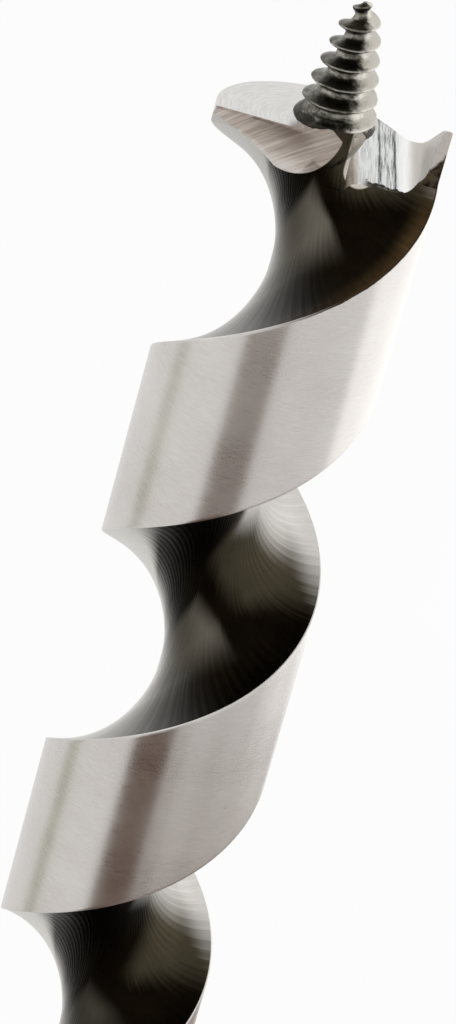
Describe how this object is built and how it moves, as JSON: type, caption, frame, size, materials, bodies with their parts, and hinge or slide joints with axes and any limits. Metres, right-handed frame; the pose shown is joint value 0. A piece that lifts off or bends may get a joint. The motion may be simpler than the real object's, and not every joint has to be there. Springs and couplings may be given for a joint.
{
  "type": "auger bit",
  "caption": "Right-hand wood auger bit with a wide twisted land, deep flute, single spur, cutting lip, tapered feed screw and hexagon shank.",
  "frame": {"origin": "centre of the shank's flat end face", "axes": "+Z along the bit towards the feed screw's tip, -X towards the cutting lip's outer corner, +X towards the spur"},
  "size_m": [0.0254, 0.0254, 0.2],
  "materials": {
    "ground_steel": "ground lands, dark scaled flute",
    "screw_steel": "as forged, grey",
    "black_steel": "black oxide",
    "shank_steel": "drawn, satin",
    "pin_steel": "ground"
  },
  "bodies": {
    "bit": {"twist_body": "ground_steel", "hex_shank": "shank_steel", "shank_pin": "pin_steel"},
    "feed_screw": {"feed_screw": "screw_steel"},
    "set_screw": {"feed_screw_set_screw": "black_steel"}
  },
  "joints": [
    {"name": "feed_screw_pull", "type": "slide", "parent": "bit", "child": "feed_screw", "axis": [0, 0, 1], "range_m": [0, 0.016]},
    {"name": "set_screw_back_out", "type": "slide", "parent": "bit", "child": "set_screw", "axis": [0, 1, 0], "range_m": [0, 0.004]}
  ]
}
